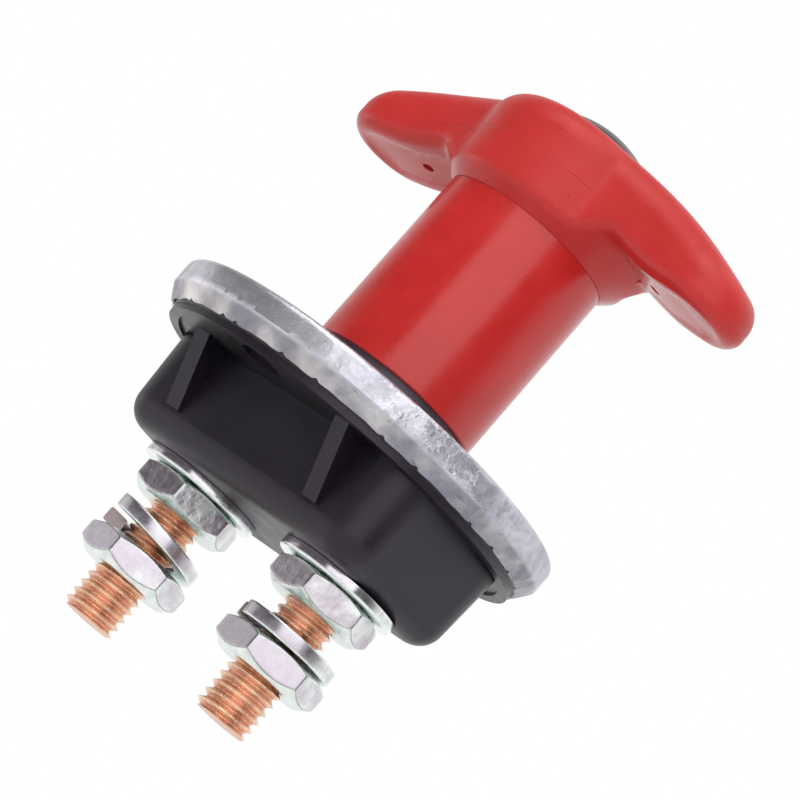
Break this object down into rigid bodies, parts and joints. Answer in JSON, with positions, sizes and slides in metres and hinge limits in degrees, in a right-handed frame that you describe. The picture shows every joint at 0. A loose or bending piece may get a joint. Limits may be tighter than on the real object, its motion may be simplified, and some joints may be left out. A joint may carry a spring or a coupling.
{
  "type": "battery disconnect switch",
  "caption": "Panel-mounted battery disconnect switch with a red wing handle, crimped round plate, ribbed black housing and threaded copper studs.",
  "frame": {"origin": "on the turning axis, at the upper face of the mounting plate, where the panel rests", "axes": "+Z along the turning axis towards the handle, +X along the line of the two studs"},
  "size_m": [0.0852, 0.0714, 0.1075],
  "materials": {
    "red_plastic": "satin",
    "red_gloss": "gloss",
    "grey_cap": "gloss",
    "black_plastic": "satin",
    "zinc_steel": "satin",
    "plate_metal": "satin",
    "copper": "satin",
    "seal_rubber": "matte"
  },
  "bodies": {
    "base": {"mounting_plate": "plate_metal", "gasket": "seal_rubber", "housing": "black_plastic", "bush": "black_plastic", "bush_nut": "zinc_steel", "spindle_seal": "seal_rubber", "stud_left": "copper", "stud_right": "copper", "flat_washer_left": "zinc_steel", "flat_washer_right": "zinc_steel", "inner_nut_left": "zinc_steel", "inner_nut_right": "zinc_steel", "lock_washer_left": "zinc_steel", "lock_washer_right": "zinc_steel", "outer_nut_left": "zinc_steel", "outer_nut_right": "zinc_steel"},
    "turning": {"handle": "red_plastic", "handle_cap": "grey_cap", "handle_screw": "zinc_steel", "handle_screw_washer": "zinc_steel", "sleeve": "red_gloss", "spindle": "zinc_steel", "drive_pin": "zinc_steel", "spindle_clip": "zinc_steel", "thrust_washer": "zinc_steel", "contact_spring": "zinc_steel", "contact_carrier": "black_plastic", "contact_bridge": "copper"}
  },
  "joints": [
    {"name": "handle_turn", "type": "hinge", "parent": "base", "child": "turning", "pos_m": [0, 0, 0], "axis": [0, 0, 1], "range_deg": [0, 90]}
  ]
}
